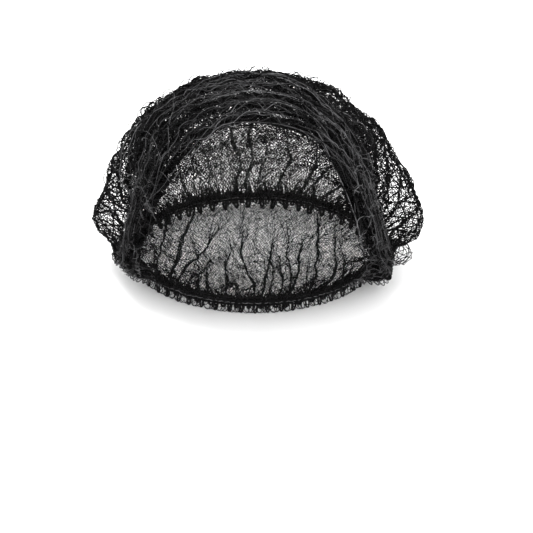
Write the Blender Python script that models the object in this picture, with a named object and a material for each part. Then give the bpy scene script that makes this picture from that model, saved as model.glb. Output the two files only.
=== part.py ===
"""A black nylon hairnet, opened, standing on its gathered rim.

The sheet of net runs from the left corner to the right corner, and from the front of the rim over the
crown to the back. Metres, +Z up, front at -Y, origin at the centre of the box's bottom.
"""

import math

import bpy
import numpy as np

# Driving dimensions
RIM_WIDTH = 0.200
RIM_DEPTH = 0.154
CROWN_HEIGHT = 0.158
OVERHANG = 0.030
NET_WALL = 0.0010
GATHER_DEPTH = 0.0022
GATHER_PITCH = 0.0214
PUFF_HEIGHT = 0.012
FOLD_DEPTH = 0.005
PLEAT_DEPTH = 0.0026
PLEAT_PITCH = 0.0150
PLEAT_ZONE = 0.105
WAIST_DEPTH = 0.014
BAND_HEIGHT = 0.0080
BAND_THICKNESS = 0.0040
RIB_DEPTH = 0.0008
RIB_PITCH = 0.0054
HEM_DROP = 0.0060
HEM_WALL = 0.0012
FLUTE_DEPTH = 0.0026
FLUTE_PITCH = 0.0107
CORNER_REACH = 0.020
CORNER_FORWARD = 0.0286
CORNER_WALL = 0.0028
CORNER_RIB_DEPTH = 0.0009
GAP = 0.0003

# How fast the crown swells out above the band, and how square its shoulders are
SWELL_RISE = 0.46
SHOULDER = 1.05

# Steps of the faceted surfaces
COLUMNS = 40
STEPS_PER_PLEAT = 4
SIDE_ROWS = 7
STEPS_PER_RIB = 2
STEPS_PER_FLUTE = 6
CORNER_RIBS = 5
CORNER_STEPS = 4

# Loose puffs of the net. along: share of the way from the left corner to the right one. over: share of
# the way from the front of the rim over the crown to the back. wide and deep: shares of those two ways.
# swell: share of PUFF_HEIGHT.
PUFF_SHARES = [
    # along, over, wide, deep, swell
    (0.33, 0.68, 0.06, 0.06, 0.70),
    (0.25, 0.72, 0.05, 0.07, 0.50),
    (0.17, 0.77, 0.06, 0.08, 0.30),
    (0.10, 0.82, 0.05, 0.09, 0.55),
    (0.05, 0.85, 0.04, 0.10, 0.40),
    (0.65, 0.68, 0.06, 0.06, 0.55),
    (0.77, 0.73, 0.05, 0.08, 0.40),
    (0.84, 0.78, 0.05, 0.09, 0.35),
    (0.90, 0.82, 0.05, 0.10, 0.75),
    (0.96, 0.93, 0.06, 0.15, 1.50),
    (0.95, 0.08, 0.07, 0.14, 1.20),
    (0.07, 0.10, 0.06, 0.10, 0.40),
]

# Main folds that rise from the rim. along: share of the way from corner to corner. lean: how far it moves
# along by the top. reach: share of the way from the rim to the pleats. depth: share of FOLD_DEPTH.
FRONT_FOLD_SHARES = [
    # along, lean, reach, width, depth
    (0.14, 0.16, 0.90, 0.022, 0.9),
    (0.24, 0.05, 0.60, 0.018, 0.6),
    (0.34, 0.02, 0.85, 0.020, 0.8),
    (0.47, -0.05, 0.75, 0.018, 0.9),
    (0.56, -0.07, 1.00, 0.022, 1.0),
    (0.66, 0.04, 0.80, 0.020, 0.8),
    (0.78, -0.05, 0.70, 0.020, 0.9),
    (0.87, -0.03, 0.60, 0.018, 0.7),
]
BACK_FOLD_SHARES = [
    # along, lean, reach, width, depth
    (0.16, -0.02, 0.60, 0.020, 0.8),
    (0.28, 0.07, 0.85, 0.020, 0.7),
    (0.38, -0.05, 0.95, 0.022, 1.0),
    (0.50, 0.06, 0.90, 0.020, 0.9),
    (0.61, -0.02, 0.70, 0.018, 0.7),
    (0.70, -0.09, 0.90, 0.022, 0.9),
    (0.84, -0.05, 0.75, 0.020, 0.8),
]

NET_COLOUR = (0.012, 0.012, 0.013, 1.0)
ELASTIC_COLOUR = (0.016, 0.016, 0.018, 1.0)


def clear_scene():
    for old in list(bpy.data.objects):
        bpy.data.objects.remove(old, do_unlink=True)


def make_material(name, colour, roughness):
    material = bpy.data.materials.new(name)
    material.use_nodes = True
    shader = material.node_tree.nodes["Principled BSDF"]
    shader.inputs["Base Color"].default_value = colour
    shader.inputs["Roughness"].default_value = roughness
    shader.inputs["Metallic"].default_value = 0.0
    return material


def make_object(name, points, faces, material):
    mesh = bpy.data.meshes.new(name)
    mesh.from_pydata(points.tolist(), [], faces)
    mesh.validate()
    mesh.shade_smooth()
    mesh.set_sharp_from_angle(angle=math.radians(60))
    mesh.materials.append(material)
    piece = bpy.data.objects.new(name, mesh)
    bpy.context.scene.collection.objects.link(piece)
    return piece


def smooth_step(value):
    value = np.clip(value, 0.0, 1.0)
    return value * value * (3.0 - 2.0 * value)


def rim_length():
    """Ramanujan's length of the rim's oval."""
    a = RIM_WIDTH / 2
    b = RIM_DEPTH / 2
    return math.pi * (3 * (a + b) - math.sqrt((3 * a + b) * (a + 3 * b)))


def over_length():
    """About how far it is from the front of the rim over the crown to the back."""
    a = RIM_DEPTH / 2 + OVERHANG
    return math.pi * math.sqrt((a * a + CROWN_HEIGHT * CROWN_HEIGHT) / 2)


def band_top():
    return HEM_DROP + GAP + BAND_HEIGHT


def corner_angle():
    """The angle at the rim's centre that the tacked end of the net takes up."""
    return CORNER_REACH / CROWN_HEIGHT


def corner_bend():
    """How much the lines of the crown bend forward, so that they meet in the two tacked corners."""
    share = CORNER_FORWARD / (RIM_DEPTH / 2)
    return share / math.sqrt(1.0 - share * share)


def dome(theta, phi):
    """The smooth crown: a half sphere about the X axis, swollen to the cap's own profile.

    theta runs from the left corner to the right one, phi from the front rim over the crown to the back.
    Both corners lie CORNER_FORWARD in front of the rim's middle. The crown swells by OVERHANG a little
    above the rim, and closes over the top.
    """
    x = -np.cos(theta)
    y = -np.sin(theta) * np.cos(phi) - corner_bend() * x * x
    z = np.clip(np.sin(theta) * np.sin(phi), 0.0, 1.0)
    size = np.sqrt(x * x + y * y + z * z)
    x, y, z = x / size, y / size, z / size
    flat = np.maximum(np.hypot(x, y), 1e-9)
    rise = np.arcsin(z) / (math.pi / 2)
    closing = np.cos(rise * math.pi / 2) ** SHOULDER
    swell = OVERHANG * np.sin(math.pi * rise**SWELL_RISE)
    px = x / flat * (RIM_WIDTH / 2 * closing + swell)
    py = y / flat * (RIM_DEPTH / 2 * closing + swell)
    pz = band_top() + GAP + CROWN_HEIGHT * z
    return np.stack([px, py, pz], axis=-1)


def outward(points, height):
    """Unit normals of a grid of points, turned level near the rim, so that folds there slide along it."""
    along = np.gradient(points, axis=0)
    over = np.gradient(points, axis=1)
    normal = np.cross(over, along)
    normal *= np.where((normal * (points - [0.0, 0.0, CROWN_HEIGHT / 3])).sum(-1) < 0, -1.0, 1.0)[..., None]
    normal[..., 2] *= smooth_step(height / (CROWN_HEIGHT * 0.12))
    return normal / np.maximum(np.linalg.norm(normal, axis=-1, keepdims=True), 1e-12)


def bump(distance):
    return np.exp(-distance * distance)


def folds_of(table, along, rise):
    """Grooves from the rim upwards. Each leans as it rises, and fades out at its reach."""
    total = np.zeros_like(along)
    for place, lean, reach, width, depth in table:
        middle = place + lean * rise
        fade = smooth_step((reach - rise) / 0.3) * smooth_step(rise / 0.08)
        total -= FOLD_DEPTH * depth * fade * bump((along - middle) / width)
    return total


def crown_relief(along, over):
    """How far the net stands off the smooth crown: gathers, folds, pleats and puffs."""
    rise = 1.0 - np.abs(2.0 * over - 1.0)
    zone = PLEAT_ZONE / over_length()
    to_pleats = rise / max(1.0 - zone, 0.05)
    gathers = round(rim_length() / 2 / GATHER_PITCH)
    relief = GATHER_DEPTH * np.cos(2 * math.pi * gathers * along) * np.exp(-to_pleats / 0.22)
    relief += folds_of(FRONT_FOLD_SHARES, along, to_pleats) * (over < 0.5)
    relief += folds_of(BACK_FOLD_SHARES, along, to_pleats) * (over >= 0.5)
    pleats = round(PLEAT_ZONE / PLEAT_PITCH)
    across = (over - 0.5) / zone
    ends = smooth_step(along / 0.10) * smooth_step((1.0 - along) / 0.10)
    inside = smooth_step((0.5 - np.abs(across)) / 0.08)
    relief += PLEAT_DEPTH * inside * ends * np.cos(2 * math.pi * pleats * across)
    side = np.minimum(along, 1.0 - along)
    relief -= WAIST_DEPTH * bump(across / 0.6) * bump((side - 0.12) / 0.13) * smooth_step(side / 0.05)
    low = smooth_step(rise / 0.10) * smooth_step(side / 0.06)
    for place, row, wide, deep, swell in PUFF_SHARES:
        shape = bump((along - place) / wide) * bump((over - row) / deep)
        relief += PUFF_HEIGHT * swell * low * shape
    return relief


def row_shares():
    """Shares of the way over the crown, close together in the pleats and near the rim."""
    half = PLEAT_ZONE / over_length() / 2
    side = (0.5 - half) * np.linspace(0.0, 1.0, SIDE_ROWS, endpoint=False) ** 1.5
    pleats = round(PLEAT_ZONE / PLEAT_PITCH)
    middle = np.linspace(0.5 - half, 0.5 + half, pleats * STEPS_PER_PLEAT + 1)
    return np.concatenate([side, middle, (1.0 - side)[::-1]])


def crown_points(along, over):
    """Outer points of the net at shares along and over, as a grid."""
    theta = corner_angle() + (math.pi - 2 * corner_angle()) * along
    points = dome(theta, over * math.pi)
    normals = outward(points, points[..., 2] - band_top() - GAP)
    return points + normals * crown_relief(along, over)[..., None]


def shell_faces(rows, columns):
    """Faces of an outer and an inner grid and the strip that joins their edges."""
    size = rows * columns
    index = np.arange(size).reshape(rows, columns)
    a = index[:-1, :-1].ravel()
    b = index[1:, :-1].ravel()
    c = index[1:, 1:].ravel()
    d = index[:-1, 1:].ravel()
    outer = np.stack([a, b, c, d], axis=1)
    inner = np.stack([d, c, b, a], axis=1) + size
    edge = np.concatenate([index[0, :-1], index[:-1, -1], index[-1, :0:-1], index[:0:-1, 0]])
    after = np.roll(edge, -1)
    strip = np.stack([edge, after, after + size, edge + size], axis=1)
    return np.concatenate([outer, inner, strip]).tolist()


def turned_in(points, wall):
    """The inner side of a wall whose outer side is the given grid."""
    normals = outward(points, points[..., 2] - band_top() - GAP)
    return points - normals * wall


def make_shell(name, points, wall, material):
    rows, columns = points.shape[:2]
    both = np.concatenate([points.reshape(-1, 3), turned_in(points, wall).reshape(-1, 3)])
    faces = shell_faces(rows, columns)
    return make_object(name, both, faces, material)


def make_crown(material):
    along = np.linspace(0.0, 1.0, COLUMNS + 1)
    grid = np.meshgrid(along, row_shares(), indexing="ij")
    return make_shell("crown_net", crown_points(*grid), NET_WALL, material)


def make_corner(name, side, material):
    """The bunched end of the net: a ribbed fan on the band that fills the crown's arch at one corner."""
    steps = CORNER_RIBS * 4
    far = corner_angle() - (GAP + GATHER_DEPTH) / CROWN_HEIGHT
    theta = np.linspace(far * 0.25, far, CORNER_STEPS)
    phi = np.linspace(0.0, math.pi, steps + 1)
    theta, phi = np.meshgrid(theta, phi, indexing="ij")
    ribs = CORNER_RIB_DEPTH * np.cos(2 * CORNER_RIBS * phi) * theta / far
    if side > 0:
        theta = math.pi - theta
    points = dome(theta, phi)
    points += outward(points, points[..., 2] - band_top() - GAP) * ribs[..., None]
    if side > 0:
        points = points[::-1]
    return make_shell(name, points, CORNER_WALL, material)


def rim_path(count):
    """Evenly spaced points along the rim's oval, and their level outward directions."""
    fine = np.linspace(0.0, 2 * math.pi, 4001)
    x = RIM_WIDTH / 2 * np.cos(fine)
    y = RIM_DEPTH / 2 * np.sin(fine)
    walked = np.concatenate([[0.0], np.cumsum(np.hypot(np.diff(x), np.diff(y)))])
    turn = np.interp(np.arange(count) / count * walked[-1], walked, fine)
    points = np.stack([RIM_WIDTH / 2 * np.cos(turn), RIM_DEPTH / 2 * np.sin(turn)], axis=-1)
    out = np.stack([np.cos(turn) * RIM_DEPTH, np.sin(turn) * RIM_WIDTH], axis=-1)
    return points, out / np.linalg.norm(out, axis=-1, keepdims=True)


def make_ring(name, loops, material):
    """A closed ring through four loops of points: outer bottom, outer top, inner top, inner bottom."""
    count = len(loops[0])
    points = np.concatenate(loops)
    here = np.arange(count)
    after = np.roll(here, -1)
    faces = []
    for row in range(4):
        low = row * count
        high = (row + 1) % 4 * count
        faces.append(np.stack([here + low, after + low, after + high, here + high], axis=1))
    return make_object(name, points, np.concatenate(faces).tolist(), material)


def level_loop(points, height):
    return np.column_stack([points, np.full(len(points), height)])


def make_band(material):
    """The elastic: an oval ring with a rib for each gather of the net."""
    ribs = round(rim_length() / RIB_PITCH)
    path, out = rim_path(ribs * STEPS_PER_RIB)
    wave = RIB_DEPTH * np.cos(2 * math.pi * np.arange(len(path)) / STEPS_PER_RIB)
    outer = path + out * (BAND_THICKNESS / 2 + wave[:, None])
    inner = path - out * BAND_THICKNESS / 2
    low = HEM_DROP + GAP
    loops = [
        level_loop(outer, low),
        level_loop(outer, band_top()),
        level_loop(inner, band_top()),
        level_loop(inner, low),
    ]
    return make_ring("elastic_band", loops, material)


def make_hem(material):
    """The fluted net edge below the elastic, which the cap stands on."""
    flutes = round(rim_length() / FLUTE_PITCH)
    path, out = rim_path(flutes * STEPS_PER_FLUTE)
    turn = 2 * math.pi * np.arange(len(path)) / STEPS_PER_FLUTE
    middle = path + out * (FLUTE_DEPTH * np.cos(turn))[:, None]
    tangent = np.roll(middle, -1, axis=0) - np.roll(middle, 1, axis=0)
    across = np.stack([tangent[:, 1], -tangent[:, 0]], axis=-1)
    across /= np.linalg.norm(across, axis=-1, keepdims=True)
    outer = middle + across * HEM_WALL / 2
    inner = middle - across * HEM_WALL / 2
    loops = [
        level_loop(outer, 0.0),
        level_loop(outer, HEM_DROP),
        level_loop(inner, HEM_DROP),
        level_loop(inner, 0.0),
    ]
    return make_ring("hem_ruffle", loops, material)


def centre_on_box(pieces):
    """Moves every piece so that the origin is at the centre of the bottom of the whole box."""
    points = np.concatenate([[tuple(v.co) for v in piece.data.vertices] for piece in pieces])
    low = points.min(axis=0)
    high = points.max(axis=0)
    for piece in pieces:
        piece.location = (-(low[0] + high[0]) / 2, -(low[1] + high[1]) / 2, -low[2])


def main():
    clear_scene()
    net = make_material("black_net", NET_COLOUR, 0.45)
    elastic = make_material("black_elastic", ELASTIC_COLOUR, 0.55)
    pieces = [
        make_crown(net),
        make_corner("corner_gather_left", -1, net),
        make_corner("corner_gather_right", 1, net),
        make_band(elastic),
        make_hem(net),
    ]
    centre_on_box(pieces)


main()
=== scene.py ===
# %% [markdown]
# # A hairnet of fine black net
#
# The real thing is one rectangle of knitted nylon net. It is pleated like a fan into a strip, its two short
# ends are tacked, and its two long edges are gathered on an elastic. Pulled open, the strip becomes a puffed
# cap: gathers rise from the rim, and the pleats that stay closed run over the crown from corner to corner.
#
# The solids that come with it give the sizes: a crown, a rim, a hem and two corners. They are closed walls.
# This script keeps their form and puts real yarn in their place, strand by strand.

# %% Start from the solid frame
import math

import bpy
import numpy as np
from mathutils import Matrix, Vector
from mathutils.bvhtree import BVHTree


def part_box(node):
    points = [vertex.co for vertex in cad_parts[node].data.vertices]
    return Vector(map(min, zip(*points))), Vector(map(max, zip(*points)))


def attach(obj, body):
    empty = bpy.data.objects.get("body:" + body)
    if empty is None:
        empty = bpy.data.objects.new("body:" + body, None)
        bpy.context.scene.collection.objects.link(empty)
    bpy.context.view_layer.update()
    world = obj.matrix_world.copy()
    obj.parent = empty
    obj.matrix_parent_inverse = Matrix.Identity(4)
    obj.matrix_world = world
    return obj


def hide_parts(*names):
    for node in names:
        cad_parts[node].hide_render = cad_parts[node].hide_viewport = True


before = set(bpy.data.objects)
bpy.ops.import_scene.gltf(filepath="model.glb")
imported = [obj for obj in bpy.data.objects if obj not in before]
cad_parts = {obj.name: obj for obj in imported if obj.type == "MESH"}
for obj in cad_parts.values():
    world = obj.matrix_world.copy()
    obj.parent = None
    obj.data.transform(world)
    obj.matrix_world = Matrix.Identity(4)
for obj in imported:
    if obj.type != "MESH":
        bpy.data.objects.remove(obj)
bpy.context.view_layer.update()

# %% [markdown]
# ## Sizes read from the frame
#
# The oval of the rim and the height of the crown come from the boxes of the solid pieces, so the yarn lies
# where they lie.

# %% Sizes of the rim and the crown
MM = 0.001
BAND_THICKNESS = 4.0 * MM
RIB_DEPTH = 0.8 * MM

band_low, band_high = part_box("elastic_band")
crown_low, crown_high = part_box("crown_net")

RIM_X = (band_high.x + band_low.x) / 2
RIM_Y = (band_high.y + band_low.y) / 2
RIM_HALF_WIDTH = (band_high.x - band_low.x) / 2 - BAND_THICKNESS / 2 - RIB_DEPTH
RIM_HALF_DEPTH = (band_high.y - band_low.y) / 2 - BAND_THICKNESS / 2 - RIB_DEPTH
BAND_LOW = band_low.z
BAND_HIGH = band_high.z
CROWN_LOW = crown_low.z
CROWN_TALL = crown_high.z - crown_low.z
FLUTES = 52
print("rim half width and depth", round(RIM_HALF_WIDTH, 4), round(RIM_HALF_DEPTH, 4))

# %% [markdown]
# ## Small helpers
#
# A smooth step fades one thing into another, and a soft noise makes slow, even variation. The noise is a
# small table of seeded random numbers, stretched to the size of the net by smooth curves between them.


# %% Smooth steps and soft noise
def smooth_step(value):
    """Rises from 0 to 1 between 0 and 1, level at both ends: 3 t squared less 2 t cubed."""
    value = np.clip(value, 0.0, 1.0)
    return value * value * (3.0 - 2.0 * value)


def stretch_matrix(count, knots):
    """Weights that spread a few knots over many places: the cubic B-spline through neighbouring knots."""
    place = np.linspace(0.0, 1.0, count) * (knots - 3) + 1.0
    whole = np.clip(np.floor(place).astype(int), 1, knots - 3)
    t = place - whole
    weights = np.zeros((count, knots))
    rows = np.arange(count)
    weights[rows, whole - 1] = (1 - t) ** 3 / 6
    weights[rows, whole] = (3 * t**3 - 6 * t**2 + 4) / 6
    weights[rows, whole + 1] = (-3 * t**3 + 3 * t**2 + 3 * t + 1) / 6
    weights[rows, whole + 2] = t**3 / 6
    return weights


def soft_noise(shape, cells, seed):
    """Smooth random numbers, about -1 to 1, with so many cells each way over a grid of this shape."""
    random = np.random.default_rng(seed)
    table = random.normal(size=(cells[0] + 3, cells[1] + 3))
    grid = stretch_matrix(shape[0], cells[0] + 3) @ table @ stretch_matrix(shape[1], cells[1] + 3).T
    return grid / (2 * grid.std())


# %% [markdown]
# ## The crown's form as a table of distances
#
# Seen from a point inside the cap, its heart, the outer side of the solid crown is so far away in each
# direction. A table of these distances says where the net belongs, and puts any point of it onto the crown.


# %% Measure the solid crown from inside
HEART = np.array([RIM_X, RIM_Y, CROWN_LOW + 0.20 * CROWN_TALL])
TURNS = 240
TILTS = 120
LOWEST_TILT = -0.62
OUTSIDE = 0.5


def crown_distances():
    """Distance from the heart to the crown's outer side, by turn and tilt: a ray cast inwards finds it.

    Below the crown there is nothing to hit, so those entries repeat the lowest one that was found.
    """
    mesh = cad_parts["crown_net"].data
    mesh.calc_loop_triangles()
    corners = [tuple(triangle.vertices) for triangle in mesh.loop_triangles]
    tree = BVHTree.FromPolygons([vertex.co for vertex in mesh.vertices], corners)
    table = np.full((TURNS, TILTS), np.nan)
    for i in range(TURNS):
        turn = 2 * math.pi * i / TURNS
        for j in range(TILTS):
            tilt = LOWEST_TILT + (math.pi / 2 - LOWEST_TILT) * j / (TILTS - 1)
            way = Vector((math.cos(turn) * math.cos(tilt), math.sin(turn) * math.cos(tilt), math.sin(tilt)))
            start = Vector(HEART) + way * OUTSIDE
            hit = tree.ray_cast(start, -way)
            if hit[0] is not None and hit[3] < OUTSIDE:
                table[i, j] = OUTSIDE - hit[3]
    for j in range(TILTS - 2, -1, -1):
        gone = np.isnan(table[:, j])
        table[gone, j] = table[gone, j + 1]
    return table


distances = crown_distances()
print("crown is", np.nanmin(distances).round(3), "to", np.nanmax(distances).round(3), "m away")


def crown_distance(ways):
    """The table's distance along each unit direction, read between its four nearest entries."""
    turn = np.mod(np.arctan2(ways[..., 1], ways[..., 0]), 2 * math.pi) / (2 * math.pi) * TURNS
    tilt = np.arcsin(np.clip(ways[..., 2], -1, 1))
    row = np.clip((tilt - LOWEST_TILT) / (math.pi / 2 - LOWEST_TILT), 0, 1) * (TILTS - 1)
    i = np.floor(turn).astype(int)
    j = np.clip(np.floor(row).astype(int), 0, TILTS - 2)
    a = turn - i
    b = row - j
    i, after = i % TURNS, (i + 1) % TURNS
    low = distances[i, j] * (1 - a) + distances[after, j] * a
    high = distances[i, j + 1] * (1 - a) + distances[after, j + 1] * a
    return low * (1 - b) + high * b


def to_crown(points):
    """Moves points along their direction from the heart until they lie on the crown."""
    arms = points - HEART
    reach = np.linalg.norm(arms, axis=-1, keepdims=True)
    ways = arms / reach
    return HEART + ways * crown_distance(ways)[..., None]


# %% [markdown]
# ## Where each part of the sheet goes
#
# The sheet is 54 by 70 cm. Its first direction runs from the left corner to the right corner, and its second
# from the front of the rim over the crown to the back. Both are turned into places on the crown as on a
# globe whose poles are the two corners: lines of one kind run from pole to pole, as the pleats do. The
# corners lie a little in front of the middle, so the globe's lines are bent forward towards them.
#
# The pleats that stay closed lie in a crescent over the crown. Its two edges are a table: near the corners
# it is narrow and low, and the net behind it puffs out over its edge.

# %% Sizes of the sheet and its mesh
SHEET_WIDTH = 0.54
SHEET_LENGTH = 0.70
ACROSS = 360
ALONG = 464
CORNER_ANGLE = 0.055
CORNER_FORWARD = 28.6 * MM
SWELL = 30.0 * MM
SWELL_POWER = 0.46
LOOSENESS = 0.80
FINE = 520
OVER_STEPS = 161
CRESCENT = np.array(
    [
        # along, inner edge over, outer edge over
        (0.00, 0.060, 0.300),
        (0.05, 0.080, 0.360),
        (0.10, 0.120, 0.460),
        (0.15, 0.185, 0.630),
        (0.20, 0.250, 0.675),
        (0.25, 0.315, 0.675),
        (0.30, 0.352, 0.660),
        (0.35, 0.378, 0.630),
        (0.40, 0.394, 0.575),
        (0.50, 0.400, 0.548),
        (0.60, 0.402, 0.555),
        (0.65, 0.388, 0.556),
        (0.70, 0.355, 0.560),
        (0.75, 0.298, 0.585),
        (0.80, 0.220, 0.585),
        (0.85, 0.150, 0.560),
        (0.90, 0.110, 0.460),
        (0.95, 0.080, 0.320),
        (1.00, 0.060, 0.300),
    ]
)


def crescent(along):
    """How far over the crown its inner and outer edges lie, at each share of the way along."""
    return [np.interp(along, CRESCENT[:, 0], CRESCENT[:, column]) for column in (1, 2)]


# %% [markdown]
# ## From the sheet to the crown
#
# A point of the sheet is first put on a rough dome over the rim's oval by two angles, and then moved along
# its ray onto the measured crown. Unwrapping the crown, as for a texture, would work too, but its lines
# would not run together at the two corners as the real ones do.


# %% A globe that lies on its side
def globe_place(theta, phi):
    """A point on the crown from its angles about the two corners, as on a globe lying on its side.

    Along the globe's axis the lines bend forward by a share of the distance from the middle, squared.
    """
    share = CORNER_FORWARD / RIM_HALF_DEPTH
    bend = share / math.sqrt(1 - share * share)
    x = -np.cos(theta)
    y = -np.sin(theta) * np.cos(phi) - bend * x * x
    z = np.sin(theta) * np.sin(phi)
    size = np.sqrt(x * x + y * y + z * z)
    x, y, z = x / size, y / size, z / size
    flat = np.maximum(np.hypot(x, y), 1e-9)
    rise = np.arcsin(np.clip(z, 0, 1)) / (math.pi / 2)
    swell = SWELL * np.sin(math.pi * rise**SWELL_POWER)
    closing = np.cos(rise * math.pi / 2)
    px = RIM_X + x / flat * (RIM_HALF_WIDTH * closing + swell)
    py = RIM_Y + y / flat * (RIM_HALF_DEPTH * closing + swell)
    pz = CROWN_LOW + (CROWN_TALL - 0.002) * z
    rough = np.stack([px, py, pz], axis=-1)
    near_rim = 1 - smooth_step(rise / 0.05)
    return rough * near_rim[..., None] + to_crown(rough) * (1 - near_rim[..., None])


def theta_of(share):
    """The angle about the corners for a share of the way from the left corner to the right one."""
    return CORNER_ANGLE + (math.pi - 2 * CORNER_ANGLE) * share


# %% [markdown]
# ## How the sheet is shared out
#
# The sheet is longer than the way over the crown. Where the net hangs loose it takes a little more of the
# sheet than the way is long, and all that is left over goes into the closed pleats.


# %% Share the sheet out over the crown
def averaged(rows, half):
    """Each value of a row averaged with its neighbours on both sides, with the ends kept."""
    wide = np.pad(rows, [(0, 0), (half, half)], mode="reflect", reflect_type="odd")
    total = np.cumsum(np.pad(wide, [(0, 0), (1, 0)]), axis=1)
    return (total[:, 2 * half + 1 :] - total[:, : -2 * half - 1]) / (2 * half + 1)


def over_shares(share, sheet_v):
    """How far over the crown each row of the sheet lies, at each share of the way along.

    Beside the crescent the net lies loose, so each length of crown takes a little more of the sheet. What is
    left of the sheet fills the crescent.
    """
    steps = np.linspace(0.0, 1.0, OVER_STEPS)
    wide, tall = np.meshgrid(theta_of(share), steps * math.pi, indexing="ij")
    ground = globe_place(wide, tall)
    walked = np.cumsum(np.linalg.norm(np.diff(ground, axis=1), axis=-1), axis=1)
    walked = np.pad(walked, [(0, 0), (1, 0)]) / (LOOSENESS * SHEET_LENGTH)
    inner, outer = averaged(np.stack(crescent(share)), 12)
    over = np.empty((len(share), len(sheet_v)))
    edges = np.empty((len(share), 2))
    for i in range(len(share)):
        first = np.interp(inner[i], steps, walked[i])
        last = 1 - (walked[i, -1] - np.interp(outer[i], steps, walked[i]))
        edges[i] = (first, last)
        over[i] = np.interp(sheet_v, [0.0, first, last, 1.0], [0.0, inner[i], outer[i], 1.0])
    return averaged(averaged(over, 4), 4), edges


# %% [markdown]
# ## Folds
#
# The sheet is almost twice as long as the rim that it is gathered on. The spare length is in folds: short
# flutes at the elastic, and longer pinched folds that lean, branch and fade out on their way up. A pinched
# fold is a narrow place where the sheet runs in and out again, so that two more layers lie there. From the
# front it is a dark line.

# %% Tables of the pinched folds
# start: share of the way from the left corner to the right one, at the rim. end: where the fold has got to
# when it fades out. reach: share of the way from the rim to the crescent. bow: how far it bends sideways
# between. weight: share of spare net.
FRONT_FOLDS = [
    # start, end, reach, bow, weight
    (0.140, 0.215, 0.80, 0.008, 1.2),
    (0.150, 0.280, 0.75, 0.012, 1.6),
    (0.165, 0.370, 0.66, 0.020, 1.8),
    (0.180, 0.440, 0.52, 0.030, 1.6),
    (0.225, 0.400, 0.34, 0.012, 1.0),
    (0.295, 0.330, 0.34, 0.006, 0.5),
    (0.350, 0.372, 0.36, 0.004, 0.7),
    (0.395, 0.430, 0.46, 0.010, 1.0),
    (0.440, 0.425, 0.24, 0.004, 0.4),
    (0.505, 0.450, 0.48, -0.012, 1.2),
    (0.512, 0.545, 0.46, 0.006, 1.0),
    (0.555, 0.515, 0.34, 0.004, 0.9),
    (0.585, 0.545, 0.36, -0.004, 0.9),
    (0.597, 0.622, 0.44, -0.014, 1.2),
    (0.602, 0.553, 0.55, 0.004, 0.8),
    (0.635, 0.650, 0.26, 0.003, 0.5),
    (0.680, 0.628, 0.60, 0.006, 1.2),
    (0.700, 0.712, 0.30, 0.004, 0.5),
    (0.718, 0.676, 0.66, 0.008, 1.1),
    (0.765, 0.735, 0.50, 0.006, 0.8),
    (0.800, 0.775, 0.64, -0.008, 0.9),
    (0.845, 0.780, 0.80, 0.010, 1.0),
]
BACK_FOLDS = [
    # start, end, reach, bow, weight
    (0.120, 0.170, 0.70, 0.010, 0.7),
    (0.170, 0.210, 0.80, -0.010, 0.8),
    (0.230, 0.215, 0.60, 0.008, 0.6),
    (0.285, 0.262, 0.56, 0.006, 0.6),
    (0.335, 0.326, 0.42, 0.006, 0.9),
    (0.346, 0.396, 0.46, 0.006, 0.9),
    (0.390, 0.397, 0.24, 0.003, 0.6),
    (0.452, 0.424, 0.62, 0.012, 1.2),
    (0.472, 0.546, 0.66, -0.008, 1.3),
    (0.500, 0.507, 0.28, 0.003, 0.5),
    (0.552, 0.557, 0.34, 0.003, 0.8),
    (0.616, 0.558, 0.52, 0.005, 1.0),
    (0.621, 0.674, 0.34, 0.003, 0.9),
    (0.672, 0.714, 0.30, 0.003, 0.8),
    (0.735, 0.668, 0.54, -0.010, 1.3),
    (0.780, 0.700, 0.64, 0.008, 1.0),
    (0.830, 0.785, 0.50, 0.006, 0.8),
    (0.880, 0.840, 0.70, -0.010, 0.8),
]
FOLD_WIDTH = 1.2 * MM
LEANS = (0.9, -0.7, 0.5, -0.9, 0.8, 0.2, -0.4)
FLUTE_FADE = 0.10
FLUTE_WEIGHT = 0.9
PINCHED_SHARE = 0.30
LEAST_TOTAL = 5.0
SLOW_SWAY = 0.0040
QUICK_SWAY = 0.0020


# %% [markdown]
# ## The way each fold takes
#
# A fold is a line on the sheet with a weight that fades along it. Lines could be drawn by hand as curves in
# Blender, but a start, an end and a bow say the same in one row of a table, and the sheet can read them.


# %% Tracks of the folds
def fold_tracks(table, rows, edge, seed):
    """Each fold's place in shares of the way along, and its weight, for every row of the sheet.

    A fold runs in a bow from its start to its end, with two slow sways, and fades towards its reach.
    """
    wander = np.random.default_rng(seed)
    share = np.linspace(0.0, 1.0, len(edge))
    tracks = []
    for start, end, reach, bow, weight in table:
        rise = rows / np.interp(end, share, edge)
        t = np.clip(rise / reach, 0.0, 1.2)
        sway = SLOW_SWAY * np.sin(rise * wander.uniform(9, 18) + wander.uniform(0, 6))
        sway = sway + QUICK_SWAY * np.sin(rise * wander.uniform(28, 50) + wander.uniform(0, 6))
        place = start + (end - start) * t + bow * 4 * t * (1 - t) + sway * smooth_step(rise / 0.1)
        force = weight * smooth_step(1 - rise / reach) ** 0.8 * smooth_step(rise / 0.02)
        tracks.append((place, force))
    return tracks


def flute_tracks(rise):
    """The regular short folds at the elastic, a row of even places whose weight fades quickly upwards."""
    count = FLUTES // 2
    force = np.exp(-rise / FLUTE_FADE)
    return [((k + 0.5) / count + 0 * rise, force) for k in range(count)]


# %% [markdown]
# ## Every knot of the sheet
#
# Now each row of the sheet is laid along its line on the crown. A row has more net than its line is long, so
# the folds take up the spare. Whole rows are worked out as arrays, one after another.


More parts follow.
